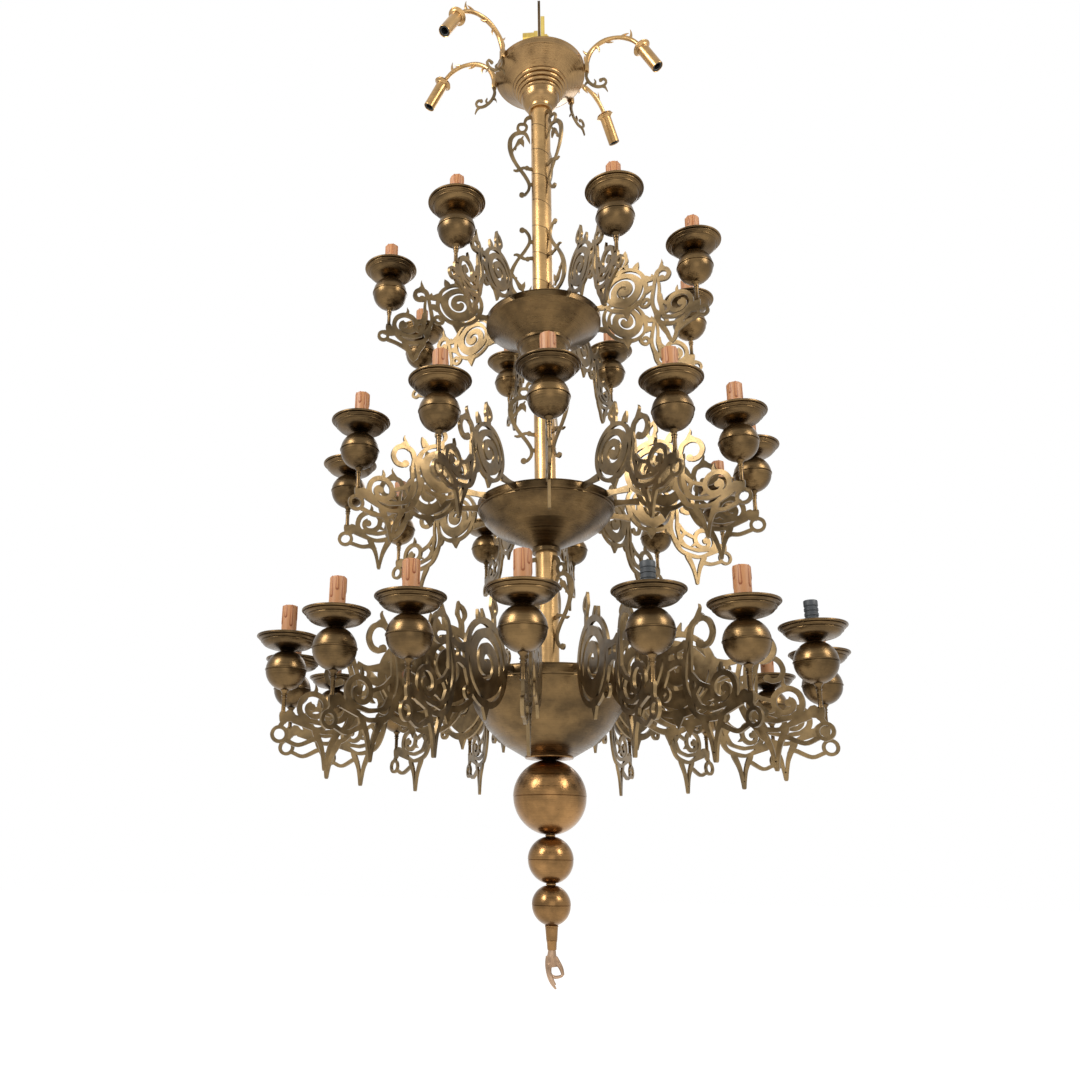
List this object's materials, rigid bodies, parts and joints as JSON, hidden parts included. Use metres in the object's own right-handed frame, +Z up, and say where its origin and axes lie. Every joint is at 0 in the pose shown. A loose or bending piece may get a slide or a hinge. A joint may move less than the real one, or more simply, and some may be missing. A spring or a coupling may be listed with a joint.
{
  "type": "polycandelon",
  "caption": "Hanging brass lamp ring in three tiers: pierced scroll arms carry balls, drip pans and candle sleeves round a tube with dishes, downlights on top and a ball finial.",
  "frame": {"origin": "centre of the eye that the lamp hangs by", "axes": "+X along the eye's axis, +Z up the stem, -Y towards the front"},
  "size_m": [1.0737, 1.0737, 2.1457],
  "materials": {
    "dark_brass": "spun and patinated, satin",
    "brushed_brass": "brushed, lightly patinated",
    "sawn_brass": "flat sawn plate, satin",
    "finial_brass": "polished over brown patina",
    "bright_brass": "bright yellow, polished",
    "wax_sleeve": "matt wax colour with drips",
    "grey_lampholder": "matt moulded",
    "black_lampholder": "matt moulded",
    "zinc_steel": "zinc plated"
  },
  "bodies": {
    "hanger": {"hanger_plate": "dark_brass"},
    "chandelier": {"arm_plates_1": "sawn_brass", "arm_plates_2": "sawn_brass", "arm_plates_3": "sawn_brass", "bowl_disc": "dark_brass", "candle_sleeves_1": "wax_sleeve", "candle_sleeves_2": "wax_sleeve", "candle_sleeves_3": "wax_sleeve", "canopy": "brushed_brass", "canopy_plate": "brushed_brass", "dish_1": "dark_brass", "dish_2": "dark_brass", "dish_3": "dark_brass", "dish_cover_1": "dark_brass", "dish_cover_2": "dark_brass", "dish_cover_3": "dark_brass", "drip_pans_1": "dark_brass", "drip_pans_2": "dark_brass", "drip_pans_3": "dark_brass", "finial_ball_1": "finial_brass", "finial_ball_2": "finial_brass", "finial_ball_3": "finial_brass", "finial_collar_1": "finial_brass", "finial_collar_2": "finial_brass", "finial_cuff": "finial_brass", "finial_hand": "finial_brass", "hanger_bolt": "bright_brass", "hanger_lugs": "bright_brass", "hanger_nut": "bright_brass", "hanging_scrolls_1": "sawn_brass", "hanging_scrolls_2": "sawn_brass", "hanging_scrolls_3": "sawn_brass", "lamp_balls_1": "dark_brass", "lamp_balls_2": "dark_brass", "lamp_balls_3": "dark_brass", "lampholders_1": "grey_lampholder", "lampholders_2": "grey_lampholder", "lampholders_3": "grey_lampholder", "spot_arms": "dark_brass", "spot_collars": "dark_brass", "spot_lampholders": "black_lampholder", "spot_sleeves": "dark_brass", "spot_tails": "sawn_brass", "standing_scrolls_1": "sawn_brass", "stem_rods_1": "dark_brass", "stem_rods_2": "dark_brass", "stem_rods_3": "dark_brass", "stem_tube_1": "brushed_brass", "stem_tube_2": "brushed_brass", "stem_tube_3": "brushed_brass", "tie_nut": "zinc_steel", "tie_rod": "zinc_steel"}
  },
  "joints": [
    {"name": "hanger_swing", "type": "hinge", "parent": "hanger", "child": "chandelier", "pos_m": [0, 0, -0.092], "axis": [1, 0, 0], "range_deg": [-15, 15]}
  ]
}
